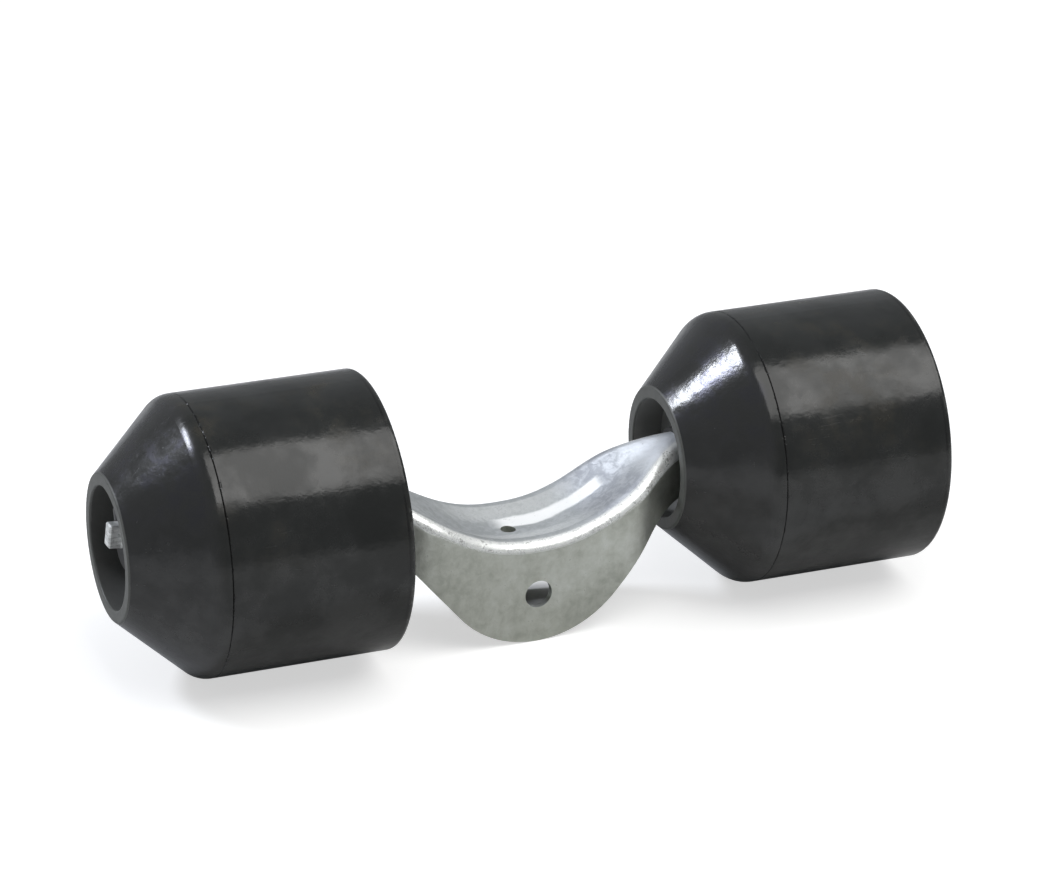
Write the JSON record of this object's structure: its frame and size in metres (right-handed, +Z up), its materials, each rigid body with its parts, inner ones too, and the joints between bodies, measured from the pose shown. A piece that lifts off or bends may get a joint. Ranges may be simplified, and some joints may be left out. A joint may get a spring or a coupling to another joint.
{
  "type": "boat trailer rocker roller assembly",
  "caption": "Pressed steel rocker bracket with a pivot hole, carrying a tapered rubber keel roller that spins and rocks on a spindle at each end.",
  "frame": {"origin": "centre of the pivot hole, midway between the two side walls of the bracket", "axes": "+X along the bracket towards the roller whose plain end faces outward, +Y along the pivot hole towards the back wall, +Z up"},
  "size_m": [0.3896, 0.1297, 0.1307],
  "materials": {
    "galvanised_steel": "hot-dip galvanised, satin with faint spangle",
    "spindle_steel": "galvanised round bar",
    "roller_rubber": "moulded black rubber with a dull sheen",
    "bush_plastic": "smooth black nylon",
    "washer_nylon": "plain black nylon",
    "zinc_plate": "bright zinc plated"
  },
  "bodies": {
    "rocker": {"rocker_bracket": "galvanised_steel", "left_spindle": "spindle_steel", "left_inner_washer": "washer_nylon", "left_outer_washer": "washer_nylon", "left_split_pin": "zinc_plate", "right_spindle": "spindle_steel", "right_inner_washer": "washer_nylon", "right_outer_washer": "washer_nylon", "right_split_pin": "zinc_plate"},
    "left_bush": {"left_hub_bush": "bush_plastic"},
    "right_bush": {"right_hub_bush": "bush_plastic"},
    "left_wheel": {"left_roller": "roller_rubber"},
    "right_wheel": {"right_roller": "roller_rubber"}
  },
  "joints": [
    {"name": "left_rock", "type": "hinge", "parent": "rocker", "child": "left_bush", "pos_m": [-0.132, 0, 0.044], "axis": [0, 1, 0], "range_deg": [-1, 11]},
    {"name": "left_spin", "type": "hinge", "parent": "left_bush", "child": "left_wheel", "pos_m": [-0.132, 0, 0.044], "axis": [0.998, -0.061, 0.0175], "continuous": true},
    {"name": "right_rock", "type": "hinge", "parent": "rocker", "child": "right_bush", "pos_m": [0.132, 0, 0.044], "axis": [0, -1, 0], "range_deg": [-3, 9]},
    {"name": "right_spin", "type": "hinge", "parent": "right_bush", "child": "right_wheel", "pos_m": [0.132, 0, 0.044], "axis": [0.998, -0.061, 0.0175], "continuous": true}
  ]
}
